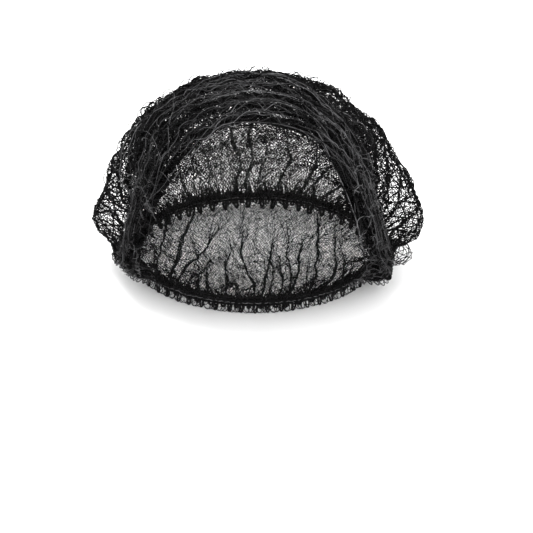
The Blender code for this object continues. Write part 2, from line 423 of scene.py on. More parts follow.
# %% Lay the sheet over the crown
def sheet_grid():
    """Places of all the knots, worked out row by row: spare net in folds, the rest spread evenly.

    In each row the net used up to a place is that place's share of the length, plus a smooth step of spare
    net at each fold. Reading this backwards gives the place of each knot. Where a step is steep, a fin of net
    stands off the crown.
    """
    sheet_u = np.linspace(0.0, 1.0, ACROSS + 1)
    sheet_v = np.linspace(0.0, 1.0, ALONG + 1)
    even = np.linspace(0.0, 1.0, FINE)
    over, edges = over_shares(even, sheet_v)
    base = globe_place(theta_of(even)[:, None] + 0 * over, over * math.pi)
    steps = np.linalg.norm(np.diff(base, axis=0), axis=-1)
    walked = np.concatenate([np.zeros((1, ALONG + 1)), np.cumsum(steps, axis=0)])
    length = walked[-1]
    share = walked / length
    spare = np.clip(SHEET_WIDTH - length, 0.0, None)
    print("rows are", round(length.min(), 3), "to", round(length.max(), 3), "m long")

    middle = len(even) // 2
    rise = np.minimum(sheet_v / edges[middle, 0], (1 - sheet_v) / (1 - edges[middle, 1]))
    flutes = flute_tracks(rise)
    front = fold_tracks(FRONT_FOLDS, sheet_v, edges[:, 0], 11)
    back = fold_tracks(BACK_FOLDS, 1 - sheet_v, 1 - edges[:, 1], 12)
    tracks = [(place, force * FLUTE_WEIGHT) for place, force in flutes]
    tracks += [(place, force * (sheet_v < 0.5)) for place, force in front]
    tracks += [(place, force * (sheet_v > 0.5)) for place, force in back]
    total = np.maximum(sum(force for place, force in tracks), LEAST_TOTAL)

    material = share * length
    fin = np.zeros_like(share)
    lean = np.zeros_like(share)
    for number, (place, force) in enumerate(tracks):
        extra = PINCHED_SHARE * spare * force / total
        along = (share - place) * length / FOLD_WIDTH
        step = 0.5 * (1 + np.tanh(along))
        material = material + extra * step
        tent = extra / 2 * (1 - np.abs(2 * step - 1))
        fin += tent
        lean += tent * LEANS[number % len(LEANS)]
    material /= material[-1]
    tracks_on_sheet = []
    for place, force in tracks[len(flutes) :]:
        mine = [np.interp(place[row], share[:, row], material[:, row]) for row in range(ALONG + 1)]
        tracks_on_sheet.append((np.array(mine), force))

    shape = (ACROSS + 1, ALONG + 1)
    fields = {name: np.empty(shape) for name in ("place", "over", "first", "last", "fin", "lean")}
    points = np.empty((*shape, 3))
    for row in range(ALONG + 1):
        way = share[:, row]
        place = np.interp(sheet_u, material[:, row], way)
        known = (even, over[:, row], edges[:, 0], edges[:, 1], fin[:, row], lean[:, row])
        for name, values in zip(fields, known):
            fields[name][:, row] = np.interp(place, way, values)
        for axis in range(3):
            points[:, row, axis] = np.interp(place, way, base[:, row, axis])
    return sheet_v, points, fields, tracks_on_sheet


sheet_v, knots, fields, creases = sheet_grid()
over = fields["over"]
fold_height = fields["fin"]
fold_lean = fields["lean"]
side = np.minimum(fields["place"], 1 - fields["place"])
low_rise = np.minimum(over, 1 - over)

# %% [markdown]
# ## Three kinds of net
#
# The same net looks different in three places: slack and crackled over the rim, squeezed in the closed
# pleats, and pulled open in the puffs behind the pleats, above all near the corners. Three soft masks say how
# much of each a knot is, so that nothing starts or ends at a hard line.

# %% Which knots lie in the pleats, and which in the open puffs behind them
EDGE_BLUR = 0.02
PUFFS_BESIDE = 0.28
PUFFS_BELOW = 0.80
PUFFS_BLUR = 0.08

in_pleats = smooth_step((sheet_v - fields["first"]) / EDGE_BLUR + 0.5)
in_pleats = in_pleats * smooth_step((fields["last"] - sheet_v) / EDGE_BLUR + 0.5)
beyond = smooth_step((sheet_v - fields["last"]) / EDGE_BLUR + 0.5)
near_corners = smooth_step((PUFFS_BESIDE - side) / PUFFS_BLUR)
in_puffs = beyond * np.maximum(near_corners, smooth_step((PUFFS_BELOW - over) / PUFFS_BLUR))
crackled = (1 - in_puffs) * (1 - in_pleats)
print("share in pleats", round(in_pleats.mean(), 3), "in puffs", round(in_puffs.mean(), 3))

# %% [markdown]
# ## Which way is out
#
# Folds and billows need to know which way is across the sheet and which way is out of it. Both come from
# neighbouring knots. A smoothed copy of the sheet gives calm directions, so that small folds don't turn them.


# %% Directions on the sheet
def directions(points):
    """Unit vectors across the sheet and out of it at every knot: the cross product of its two directions."""
    across = np.gradient(points, axis=0)
    along = np.gradient(points, axis=1)
    across /= np.maximum(np.linalg.norm(across, axis=-1, keepdims=True), 1e-9)
    along /= np.maximum(np.linalg.norm(along, axis=-1, keepdims=True), 1e-9)
    out = np.cross(across, along)
    out /= np.maximum(np.linalg.norm(out, axis=-1, keepdims=True), 1e-9)
    inward = (out * (points - HEART)).sum(-1, keepdims=True) < 0
    return across, np.where(inward, -out, out)


def smoothed(field, rounds):
    """Averages each knot with its neighbours, again and again, so that only slow change stays."""
    for _ in range(rounds):
        padded = np.pad(field, [(1, 1), (1, 1)] + [(0, 0)] * (field.ndim - 2), mode="edge")
        field = (padded[:-2, 1:-1] + padded[2:, 1:-1] + padded[1:-1, :-2] + padded[1:-1, 2:]) / 4
    return field


# %% [markdown]
# ## Pleats, billows and crumple
#
# Where the sheet is longer than the way over the crown, it stands in closed pleats. Their depth follows from
# that: a pleat with sides 10 mm long stands as high as its squeezed base lets it. Loose net also billows
# between its creases, and each knot sits a little off its place, as knitted yarn does.

# %% Shape the sheet
PLEATS = 26
PLEAT_DEPTH = 10.0 * MM
BILLOW = 3.5 * MM
CRUMPLE = 1.5 * MM
SLACK = 2.0 * MM
SLIDE = 0.7 * MM
FIN_SHARE = 0.75


def shaped_sheet(points):
    """The knots with their folds, pleats, billows and crumple added along the directions of the sheet.

    A pleat is a zigzag: with sides of fixed length, its depth is that length times the root of one less the
    squeeze squared. A billow is minus the size of a soft noise, crumple and slack are soft noises.
    """
    slow = smoothed(points, 12)
    across, out = directions(slow)
    shape = points.shape[:2]
    tall = sheet_v[None, :]

    gap = np.linalg.norm(np.gradient(slow, axis=1), axis=-1)
    squeeze = np.clip(gap / (SHEET_LENGTH / ALONG), 0.0, 1.0)
    half_depth = PLEAT_DEPTH / 2 * np.sqrt(1 - squeeze**2)
    phase = tall * PLEATS + 0.5 * soft_noise(shape, (7, 5), 3)
    zigzag = 2 * np.abs(2 * (phase - np.floor(phase)) - 1) - 1
    edge = smooth_step(tall / 0.06) * smooth_step((1 - tall) / 0.06)
    near_corner = smooth_step(side / 0.15)
    pleat = half_depth * (zigzag - 1.0) * edge * near_corner * smooth_step((0.80 - squeeze) / 0.25)

    loose = smooth_step(low_rise / 0.06)
    billow = -BILLOW * np.abs(soft_noise(shape, (15, 17), 5)) * loose
    crumple = CRUMPLE * soft_noise(shape, (64, 78), 7) + SLACK * soft_noise(shape, (30, 36), 8)
    slide = SLIDE * np.stack([soft_noise(shape, (44, 56), seed) for seed in (31, 32, 33)], axis=-1)
    height = billow + crumple * loose * (1 - 0.5 * in_puffs) + pleat - fold_height * FIN_SHARE
    return points + out * height[..., None] + across * fold_lean[..., None] + slide * loose[..., None]


knots = shaped_sheet(knots)
print("knots", knots.shape, "box", knots.reshape(-1, 3).min(0).round(3), knots.reshape(-1, 3).max(0).round(3))


# %% [markdown]
# ## Settling the net
#
# A sheet worked out by formula has some strands that are too long and others too short. A short simulation
# puts that right: again and again, each pair of neighbours is moved towards its knitted distance, and what
# strays from the crown is brought back. It is a small cloth solver, written in numpy.

# %% Rules for pairs of knots
PAIRS = [
    # steps across and along, shortest and longest share of the knitted distance, strength
    ((1, 0), 0.88, 1.06, 0.50),
    ((0, 1), 0.88, 1.06, 0.50),
    ((1, 1), 0.80, 1.06, 0.40),
    ((1, -1), 0.80, 1.06, 0.40),
    ((2, 0), 0.55, 9.00, 0.25),
    ((0, 2), 0.55, 9.00, 0.25),
]
MOST_SPREAD = 1.25
STRAY_OUT = 1.8 * MM
STRAY_IN = 13.0 * MM
ROUNDS = 100
ROUNDS_A_CHECK = 4
FLOOR_GAP = 0.4 * MM


def shifted(steps):
    """The two slices of a grid that pair each knot with the one so many steps away across and along."""
    front = []
    behind = []
    for step in steps:
        front.append(slice(max(step, 0), None if step >= 0 else step))
        behind.append(slice(max(-step, 0), None if step <= 0 else -step))
    return tuple(front), tuple(behind)


def pair_rule(points, steps, least, most, strength):
    """A pair of slices with the shortest and longest distance allowed between their knots.

    Knots that start closer together than they were knitted aren't pushed far apart.
    """
    front, behind = shifted(steps)
    rest = math.hypot(steps[0] * SHEET_WIDTH / ACROSS, steps[1] * SHEET_LENGTH / ALONG)
    start = np.linalg.norm(points[front] - points[behind], axis=-1)
    shortest = np.minimum(least * rest, MOST_SPREAD * start).astype(np.float32)
    return front, behind, shortest, np.float32(most * rest), np.float32(strength)


# %% [markdown]
# ## Rounds of settling
#
# Blender's own cloth could do this too, with the crown as something to collide with. For some 170,000 knots
# that is slow, and the net would end up on one side of the crown. Here a round is a few array sums, and
# every few rounds the net is brought back to between a little outside and a little inside the crown.


# %% Let the sheet settle
def settle(points):
    """Rounds of stretch, stiffness and crown rules. The rim and the tacked corners stay where they are."""
    points = points.astype(np.float32)
    rules = [pair_rule(points, *row) for row in PAIRS]
    free = np.ones(points.shape[:2], dtype=np.float32)
    free[:, 0] = free[:, -1] = 0.0
    free[0, :] = free[-1, :] = 0.0
    room = 0.25 + 0.75 * smooth_step(low_rise / 0.09)
    room_out = (room * (0.1 + 0.9 * smooth_step(side / 0.08))).astype(np.float32)
    room = room.astype(np.float32)
    heart = HEART.astype(np.float32)
    for count in range(ROUNDS):
        total = np.zeros_like(points)
        for front, behind, shortest, longest, strength in rules:
            gap = points[front] - points[behind]
            length = np.sqrt((gap * gap).sum(-1)) + np.float32(1e-9)
            wanted = np.clip(length, shortest, longest)
            move = gap * ((length - wanted) / length * (strength / 2))[..., None]
            total[behind] += move
            total[front] -= move
        points = points + total * free[..., None]
        if (count + 1) % ROUNDS_A_CHECK == 0 or count == ROUNDS - 1:
            arms = points - heart
            reach = np.sqrt((arms * arms).sum(-1))
            ways = arms / reach[..., None]
            crown = crown_distance(ways).astype(np.float32)
            kept = np.clip(reach, crown - STRAY_IN * room, crown + STRAY_OUT * room_out)
            points = heart + ways * (reach + (kept - reach) * free)[..., None]
    points[..., 2] = np.maximum(points[..., 2], FLOOR_GAP)
    return points.astype(np.float64)


knots = settle(knots)
print("settled box", knots.reshape(-1, 3).min(0).round(3), knots.reshape(-1, 3).max(0).round(3))


# %% [markdown]
# ## Crackle
#
# The yarn is crimped, so a slack net is never even: its cells close up in one place and gape in the next, in
# a fine crackle. It is strongest in the slack net over the rim and weakest in the pleats and puffs.

# %% Crackle
KNOT_PLAY = 0.16 * MM
CRACKLE = 0.32 * MM


def crackle(points):
    """Each knot moved by a little chance of its own, and by a noise two or three knots wide."""
    shape = points.shape[:2]
    random = np.random.default_rng(23)
    free = smooth_step(low_rise / 0.015)
    play = random.normal(size=points.shape) * KNOT_PLAY
    fine = np.stack([soft_noise(shape, (ACROSS // 3, ALONG // 3), seed) for seed in (51, 52, 53)], axis=-1)
    return points + (play + fine * 2 * CRACKLE * (0.25 + 0.75 * crackled)[..., None]) * free[..., None]


knots = crackle(knots)


# %% [markdown]
# ## Yarn
#
# The net's mesh is a diamond: yarn runs along both diagonals of a chequered grid of knots. Each strand from
# knot to knot is a thin three-sided prism. Thousands of them are made at once, as arrays, and joined in one
# mesh.


# %% Strands from knot to knot
def strand_arrays(start, end, out, radius):
    """Corner points and faces of three-sided prisms with open ends, one for each row of start and end."""
    way = end - start
    way /= np.maximum(np.linalg.norm(way, axis=-1, keepdims=True), 1e-9)
    side = np.cross(way, out)
    side /= np.maximum(np.linalg.norm(side, axis=-1, keepdims=True), 1e-9)
    up = np.cross(side, way)
    rings = []
    for place in (start, end):
        for corner in range(3):
            turn = 2 * math.pi * corner / 3 + math.pi / 2
            spoke = side * math.cos(turn) + up * math.sin(turn)
            rings.append(place + spoke * radius)
    points = np.stack(rings, axis=1).reshape(-1, 3)
    first = np.arange(len(start))[:, None] * 6
    walls = [np.array([k, k + 3, (k + 1) % 3 + 3, (k + 1) % 3]) for k in range(3)]
    return points, np.concatenate([first + wall for wall in walls])


# %% [markdown]
# ## From arrays to a mesh
#
# Blender takes a whole array of points or faces in one call, which is far quicker than adding them one by
# one. Each piece also carries a tone for each point, which its material reads as lighter or darker yarn.


# %% A piece out of arrays
def mesh_piece(name, points, faces, material, tone=None):
    """A mesh object from arrays of points and four-cornered faces, shaded smooth."""
    mesh = bpy.data.meshes.new(name)
    mesh.vertices.add(len(points))
    mesh.vertices.foreach_set("co", np.ascontiguousarray(points, dtype=np.float32).ravel())
    mesh.loops.add(faces.size)
    mesh.loops.foreach_set("vertex_index", faces.astype(np.int32).ravel())
    mesh.polygons.add(len(faces))
    mesh.polygons.foreach_set("loop_start", np.arange(len(faces), dtype=np.int32) * 4)
    mesh.update(calc_edges=True)
    mesh.polygons.foreach_set("use_smooth", np.ones(len(faces), dtype=bool))
    if tone is not None:
        layer = mesh.attributes.new("tone", "FLOAT", "POINT")
        layer.data.foreach_set("value", np.ascontiguousarray(tone, dtype=np.float32))
    mesh.materials.append(material)
    piece = bpy.data.objects.new(name, mesh)
    bpy.context.scene.collection.objects.link(piece)
    return piece


def hand_over(piece, node):
    """Says what a piece moves with, hides the solid it stands for and prints its number of faces."""
    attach(piece, "root")
    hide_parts(node)
    print(piece.name, len(piece.data.polygons), "faces")


# %% [markdown]
# ## Black nylon
#
# The yarn is dyed black, crimped and a little glossy. Along its folds bundles of fibre catch the light and
# look grey; on the ridge, thread and curl yarn that grey is a painted highlight in their light colour. One
# node group gives the variation along a yarn and from yarn to yarn, with roughness and grain, and each
# material has its own shader and its own two colours.


# %% One node group for every yarn
def fibre_group():
    """Node group: mixes two colours by a noise times the strand's own tone."""
    group = bpy.data.node_groups.new("fibre_shade", "ShaderNodeTree")
    sockets = (
        ("Dark", "INPUT", "NodeSocketColor"),
        ("Light", "INPUT", "NodeSocketColor"),
        ("Scale", "INPUT", "NodeSocketFloat"),
        ("Colour", "OUTPUT", "NodeSocketColor"),
        ("Roughness", "OUTPUT", "NodeSocketFloat"),
        ("Grain", "OUTPUT", "NodeSocketFloat"),
    )
    for label, way, kind in sockets:
        group.interface.new_socket(name=label, in_out=way, socket_type=kind)
    nodes = group.nodes
    links = group.links
    source = nodes.new("NodeGroupInput")
    result = nodes.new("NodeGroupOutput")
    place = nodes.new("ShaderNodeTexCoord")
    noise = nodes.new("ShaderNodeTexNoise")
    tone = nodes.new("ShaderNodeAttribute")
    tone.attribute_name = "tone"
    spread = nodes.new("ShaderNodeMapRange")
    spread.inputs["From Min"].default_value = 0.3
    spread.inputs["From Max"].default_value = 0.7
    spread.inputs["To Min"].default_value = 0.4
    spread.inputs["To Max"].default_value = 1.2
    shade = nodes.new("ShaderNodeMath")
    shade.operation = "MULTIPLY"
    mix = nodes.new("ShaderNodeMix")
    mix.data_type = "RGBA"
    rough = nodes.new("ShaderNodeMapRange")
    rough.inputs["To Min"].default_value = 0.34
    rough.inputs["To Max"].default_value = 0.58
    links.new(place.outputs["Object"], noise.inputs["Vector"])
    links.new(source.outputs["Scale"], noise.inputs["Scale"])
    links.new(noise.outputs["Fac"], spread.inputs["Value"])
    links.new(spread.outputs["Result"], shade.inputs[0])
    links.new(tone.outputs["Fac"], shade.inputs[1])
    links.new(shade.outputs[0], mix.inputs["Factor"])
    links.new(source.outputs["Dark"], mix.inputs["A"])
    links.new(source.outputs["Light"], mix.inputs["B"])
    links.new(noise.outputs["Fac"], rough.inputs["Value"])
    links.new(mix.outputs["Result"], result.inputs["Colour"])
    links.new(rough.outputs["Result"], result.inputs["Roughness"])
    links.new(noise.outputs["Fac"], result.inputs["Grain"])
    return group


FIBRE = fibre_group()


# %% [markdown]
# ## One material for each kind of yarn
#
# Each kind of yarn takes the group with its own two colours and its own scale. The grain is a bump far
# finer than the piece, and the gloss is low, because crimped nylon spreads the light.


# %% A yarn material
def yarn_material(name, dark, light, scale, gloss):
    """Nylon yarn: the fibre group gives colour and roughness, and its grain a fine bump."""
    material = bpy.data.materials.new(name)
    material.use_nodes = True
    nodes = material.node_tree.nodes
    links = material.node_tree.links
    shader = nodes["Principled BSDF"]
    group = nodes.new("ShaderNodeGroup")
    group.node_tree = FIBRE
    group.inputs["Dark"].default_value = (*dark, 1.0)
    group.inputs["Light"].default_value = (*light, 1.0)
    group.inputs["Scale"].default_value = scale
    bumps = nodes.new("ShaderNodeBump")
    bumps.inputs["Strength"].default_value = 0.35
    bumps.inputs["Distance"].default_value = 0.0002
    links.new(group.outputs["Colour"], shader.inputs["Base Color"])
    links.new(group.outputs["Roughness"], shader.inputs["Roughness"])
    links.new(group.outputs["Grain"], bumps.inputs["Height"])
    links.new(bumps.outputs["Normal"], shader.inputs["Normal"])
    shader.inputs["Specular IOR Level"].default_value = gloss
    return material


NET = yarn_material("black_net_yarn", (0.0008, 0.0008, 0.0009), (0.018, 0.018, 0.019), 900.0, 0.03)

# %% [markdown]
# ## Thick and thin yarn
#
# The strands are thicker where real net looks denser: at the rim, below the pleats, and in the pleats, where
# one strand stands for several. In the puffs the net is pulled open, and only a few yarns still look thick. A
# single radius would be simpler, but then the pleats would be as see-through as the window below them.

# %% How thick the yarn is, place by place
NET_PIECES = 6
PUFF_RADIUS = 0.44 * MM
FRONT_RADIUS = 0.30 * MM
BACK_RADIUS = 0.37 * MM
PLEAT_RADIUS = 0.53 * MM
FINE_RADIUS = 0.23 * MM
THIN_RADIUS = 0.27 * MM
PLEAT_KEPT = 0.50
ROPE_KEPT = 0.14
FRONT_FINE_SHARE = 0.34
BACK_FINE_SHARE = 0.48
THIN_SHARE = 0.62
LEVEL_SHARE = 0.08
RIM_BARE = 0.008
ROPE_REACH = 0.12
ROPE_BLUR = 0.15
PLEAT_BLUR = 0.05
THICK_EVERY = 6
THICKER_EVERY = 18
THICKER_TIMES = 1.8
RADIUS_CHANCE = (0.75, 1.25)
# The front's radius in times FRONT_RADIUS: what it is at the rim, what it loses up to a share of the way
# along the sheet, and what it gains again from another share on, within a blur.
AT_RIM = 1.14
WINDOW_LOSS = 0.36
LOST_BY = 0.16
TOP_GAIN = 0.34
GAIN_FROM = 0.19
GAIN_BLUR = 0.05
# The pleats' radius in times PLEAT_RADIUS at their front edge, and how far in it has faded to 1.
PLEAT_FRONT = 1.40
PLEAT_FADE = 0.16


def window_radius(rise):
    """Radius of the slack net in front and behind, at each share of the way along the sheet."""
    lost = WINDOW_LOSS * smooth_step(rise / LOST_BY)
    gained = TOP_GAIN * smooth_step((rise - GAIN_FROM) / GAIN_BLUR)
    return np.where(rise < 0.5, FRONT_RADIUS * (AT_RIM - lost + gained), BACK_RADIUS)


# %% [markdown]
# ## Choosing the strands
#
# Every knot could send out the same two strands, but then the net looks like a printed grid. So chance
# leaves some out, adds finer ones and makes a few much thicker. It is seeded, so each run gives the same net.


# %% Choose the strands
def net_strands(points, low, high, random):
    """Start and end knots of the strands between two rows, the way out, and the strands' radius.

    Even knots carry the diamond net. Odd ones carry finer yarn, only here and there, that splits its cells.
    A few level strands join knots of one row. In the open puffs every third row of diamonds is thick, every
    ninth thicker still, and between them only thin yarn is left. Deep in the closed pleats fewer and thicker
    strands stand for all of them.
    """
    out = directions(smoothed(points, 3))[1]
    i, j = np.meshgrid(np.arange(ACROSS + 1), np.arange(low, high), indexing="ij")
    even = (i + j) % 2 == 0
    open_net = in_puffs[i, j] > 0.5
    free = (low_rise[i, j] > RIM_BARE) & (in_pleats[i, j] < 0.5)
    kept = ROPE_KEPT + (PLEAT_KEPT - ROPE_KEPT) * smooth_step((side[i, j] - ROPE_REACH) / ROPE_BLUR)
    inside = np.minimum(j / ALONG - fields["first"][i, j], fields["last"][i, j] - j / ALONG)
    kept = 1 - (1 - kept) * smooth_step(inside / PLEAT_BLUR)
    fine_share = np.where(j < ALONG / 2, FRONT_FINE_SHARE, BACK_FINE_SHARE)
    starts, ends, outs, radii = [], [], [], []
    for turn, down in ((-1, 1), (1, 1), (2, 0)):
        chance = random.uniform(size=i.shape)
        keep = (i + turn >= 0) & (i + turn <= ACROSS)
        fine = np.zeros_like(even)
        if down:
            line = i - turn * j
            main = even & ((in_pleats[i, j] < 0.5) | (chance < kept))
            main &= ~open_net | (line % THICK_EVERY == 0) | (chance < THIN_SHARE)
            fine = ~even & free & ~open_net & (chance < fine_share)
        else:
            line = 0 * i + 1
            main = even & free & (chance < LEVEL_SHARE)
        keep &= main | fine
        a = (i[keep], j[keep])
        b = (i[keep] + turn, j[keep] + down)
        line = line[keep]
        puffy = np.where(line % THICKER_EVERY == 0, THICKER_TIMES * PUFF_RADIUS, PUFF_RADIUS)
        puffy = np.where(line % THICK_EVERY == 0, puffy, THIN_RADIUS)
        rise = sheet_v[a[1]]
        into = smooth_step((rise - fields["first"][a]) / PLEAT_FADE)
        pleat = PLEAT_RADIUS * (PLEAT_FRONT - (PLEAT_FRONT - 1) * into)
        thick = window_radius(rise) * crackled[a] + puffy * in_puffs[a] + pleat * in_pleats[a]
        thick /= crackled[a] + in_puffs[a] + in_pleats[a]
        thick = np.where(fine[keep], FINE_RADIUS, thick) * random.uniform(*RADIUS_CHANCE, size=len(thick))
        starts.append(points[a])
        ends.append(points[b])
        outs.append(out[a])
        radii.append(thick)
    return np.concatenate(starts), np.concatenate(ends), np.concatenate(outs), np.concatenate(radii)[:, None]


# %% [markdown]
# ## Six pieces of net
#
# The whole sheet has about a hundred and twenty thousand strands, and one mesh of them would be heavy to
# handle and to export. They are split into six pieces, row by row, each a band from corner to corner.

# %% Weave the net
net_pieces = []
random = np.random.default_rng(41)
for part in range(NET_PIECES):
    low = ALONG * part // NET_PIECES
    high = ALONG * (part + 1) // NET_PIECES
    start, end, out, thick = net_strands(knots, low, high, random)
    points, faces = strand_arrays(start, end, out, thick)
    tone = np.repeat(random.uniform(0.0, 1.0, size=len(start)) ** 3, 6)
    piece = mesh_piece(f"net_{part + 1}", points, faces, NET, tone)
    net_pieces.append(piece)
    print(piece.name, len(start), "strands,", 2 * len(faces), "triangles")
for piece in net_pieces:
    hand_over(piece, "crown_net")

# %% [markdown]
# ## Tubes
#
# Loops, threads and loose yarn are round cords. A tube is a ring of corners carried along a path: here a
# whole bundle of paths is turned into tubes in one go, with a flat cap on both ends of each. The number of
# sides is even, so that the caps are made of four-cornered faces too.


# %% Tubes along many paths
def unit(field):
    """Vectors of length 1 in the same directions."""
    return field / np.maximum(np.linalg.norm(field, axis=-1, keepdims=True), 1e-12)


def tube_arrays(paths, radius, beside, sides=4):
    """Rings of corners round paths, one for each row: path plus radius times a turning spoke."""
    count, steps = paths.shape[:2]
    way = unit(np.gradient(paths, axis=1))
    side = unit(np.cross(way, np.broadcast_to(beside, paths.shape)))
    up = np.cross(side, way)
    turn = (2 * math.pi * np.arange(sides) / sides)[None, None, :, None]
    spoke = side[:, :, None, :] * np.cos(turn) + up[:, :, None, :] * np.sin(turn)
    radius = np.broadcast_to(radius, (count, steps))
    points = (paths[:, :, None, :] + spoke * radius[:, :, None, None]).reshape(-1, 3)
    ring = np.arange(count * steps).reshape(count, steps, 1) * sides
    here = ring[:, :-1] + np.arange(sides)
    after = ring[:, :-1] + (np.arange(sides) + 1) % sides
    walls = np.stack([here, here + sides, after + sides, after], axis=-1).reshape(-1, 4)
    faces = [walls]
    for first in range(0, sides - 2, 2):
        corner = np.array([0, first + 1, first + 2, first + 3])
        faces.append(ring[:, 0] + corner)
        faces.append(ring[:, -1] + corner[::-1])
    return points, np.concatenate(faces)


# %% [markdown]
# ## Going round the rim
#
# Band, loops and thread all follow the same oval. A place on it is given as a share of the way round, by
# length, so that ribs and loops stay evenly spaced where the oval bends.

# %% The rim's oval
fine_turn = np.linspace(0.0, 2 * math.pi, 4001)
fine_x = RIM_HALF_WIDTH * np.cos(fine_turn)
fine_y = RIM_HALF_DEPTH * np.sin(fine_turn)
fine_walk = np.concatenate([[0.0], np.cumsum(np.hypot(np.diff(fine_x), np.diff(fine_y)))])
RIM_LENGTH = fine_walk[-1]
UP = np.array([0.0, 0.0, 1.0])


def rim_frame(share):
    """Point on the oval, the level way out and the way along at each share of the way round it."""
    turn = np.interp(np.mod(share, 1.0) * RIM_LENGTH, fine_walk, fine_turn)
    x, y, level = np.cos(turn), np.sin(turn), 0 * turn
    point = np.stack([RIM_X + RIM_HALF_WIDTH * x, RIM_Y + RIM_HALF_DEPTH * y, level], axis=-1)
    out = unit(np.stack([x * RIM_HALF_DEPTH, y * RIM_HALF_WIDTH, level], axis=-1))
    return point, out, np.cross(UP, out)


def rim_path(share, off, height):
    """Points that stand off the oval by off, outwards, at the given height."""
    point, out = rim_frame(share)[:2]
    return point + out * np.asarray(off)[..., None] + UP * np.asarray(height)[..., None]


print("rim length", round(RIM_LENGTH, 4))

# %% [markdown]
# ## The elastic band
#
# The elastic lies inside a casing of bunched net, which gives a row of uneven upright ribs. The band is one
# closed surface: a rounded oblong section carried round the oval, pushed out where a rib is and pinched
# between two, with each rib a little different.

# %% Band
RIBS = 104
STEPS_PER_RIB = 7
BAND_SECTION = 16
BAND_MIDDLE = (BAND_LOW + BAND_HIGH) / 2
BAND_HALF_TALL = (BAND_HIGH - BAND_LOW) / 2

ELASTIC = yarn_material("black_elastic", (0.0007, 0.0007, 0.0008), (0.009, 0.009, 0.0095), 1400.0, 0.04)


def around_noise(count, waves, seed):
    """A closed ring of smooth random numbers, about -1 to 1: a sum of a few waves with random phases."""
    random = np.random.default_rng(seed)
    place = 2 * math.pi * np.arange(count) / count
    numbers = random.integers(waves // 3, waves, size=14)
    phases = random.uniform(0, 2 * math.pi, size=14)
    total = np.sin(place[:, None] * numbers + phases).sum(axis=1)
    return total / np.abs(total).max()


def band_surface():
    """Superellipse section |x|^3 + |z|^3 = 1 carried round the oval, with ribs that swell and lean."""
    count = RIBS * STEPS_PER_RIB
    share = np.arange(count) / count
    wobble = 0.25 * around_noise(count, 60, 5)
    rib = np.abs(np.sin(math.pi * (RIBS * share + wobble))) ** 0.7
    uneven = around_noise(count, 150, 6)
    turn = 2 * math.pi * np.arange(BAND_SECTION) / BAND_SECTION
    across = np.sign(np.cos(turn)) * np.abs(np.cos(turn)) ** (2 / 3)
    tall = np.sign(np.sin(turn)) * np.abs(np.sin(turn)) ** (2 / 3)
    swell = (BAND_THICKNESS / 2 - 0.9 * MM + 1.5 * MM * rib + 0.3 * MM * uneven)[:, None]
    top = np.where(tall > 0, 1.0, 0.25)
    lift = BAND_HALF_TALL * (0.92 + top * (0.30 * (rib[:, None] - 0.5) + 0.14 * uneven[:, None]))
    twist = 0.0012 * around_noise(count, 90, 8)[:, None] * tall
    point, out, along = rim_frame(np.broadcast_to(share[:, None], (count, BAND_SECTION)))
    place = point + out * (swell * across)[..., None] + along * twist[..., None]
    return place + UP * (BAND_MIDDLE + lift * tall)[..., None]


def ring_faces(rings, section):
    """Quads that join each ring to the next, the last to the first, round a closed section."""
    index = np.arange(rings * section).reshape(rings, section)
    after = np.roll(index, -1, axis=0)
    faces = np.stack([index, after, np.roll(after, -1, axis=1), np.roll(index, -1, axis=1)], axis=-1)
    return faces.reshape(-1, 4)


band_grid = band_surface()
tone = np.repeat(0.35 + 0.3 * around_noise(len(band_grid), 200, 9), BAND_SECTION)
rim_band = mesh_piece("rim_band", band_grid.reshape(-1, 3), ring_faces(*band_grid.shape[:2]), ELASTIC, tone)
hand_over(rim_band, "elastic_band")

# %% [markdown]
# ## Gathers above the band
#
# Where the net comes out of its casing it stands up in little stiff spikes before it opens. Each spike is a
# bundle of yarn, thick at the band and fine at its tip, that leans its own way.

# %% Gathers
GATHERS = 520
GATHER_STEPS = 5


def gather_paths():
    """Short paths that start in the band's top and rise along the crown, bent a little to one side."""
    random = np.random.default_rng(61)
    share = (np.arange(GATHERS) + random.uniform(-0.4, 0.4, GATHERS)) / GATHERS
    t = np.linspace(0.0, 1.0, GATHER_STEPS)[None, :]
    tall = random.uniform(3.5, 9.5, (GATHERS, 1)) * MM
    start_off = random.uniform(-2.0, 2.0, (GATHERS, 1)) * MM
    lean = random.normal(0.0, 0.28, (GATHERS, 1))
    bend = random.normal(0.0, 0.35, (GATHERS, 1))
    point, out, along = rim_frame(np.repeat(share[:, None], GATHER_STEPS, axis=1))
    off = start_off + tall * (0.45 * t + 0.15 * t**2)
    sideways = tall * (lean * t + bend * t**2)
    height = BAND_HIGH - 1.5 * MM + (tall + 1.5 * MM) * t
    paths = point + out * off[..., None] + along * sideways[..., None] + UP * height[..., None]
    radius = random.uniform(0.65, 1.2, (GATHERS, 1)) * MM * (1 - 0.65 * t)
    return paths, radius, out


paths, radius, beside = gather_paths()
points, faces = tube_arrays(paths, radius, beside, sides=4)
tone = np.repeat(np.random.default_rng(62).uniform(0, 1, GATHERS) ** 2, GATHER_STEPS * 4)
rim_gathers = mesh_piece("rim_gathers", points, faces, ELASTIC, tone)
hand_over(rim_gathers, "elastic_band")

# %% [markdown]
# ## Loops below the band
#
# The very edge of the net sticks out below the elastic as two rows of loops, one that leans inwards and one
# that leans outwards. On the far side of the rim the inner row looks like little teeth with a slit. Each is a
# thick U of bunched net with a finer one inside it, and thin yarn crosses from loop to loop.

# %% One row of loops
LOOP_STEPS = 11
LACE_STEPS = 9
FINE_YARN = 0.32 * MM

LOOP = yarn_material("black_loops", (0.0016, 0.0016, 0.0018), (0.008, 0.008, 0.009), 700.0, 0.16)
loop_shader = LOOP.node_tree.nodes["Principled BSDF"]
loop_shader.inputs["Coat Weight"].default_value = 0.10
loop_shader.inputs["Coat Roughness"].default_value = 0.22


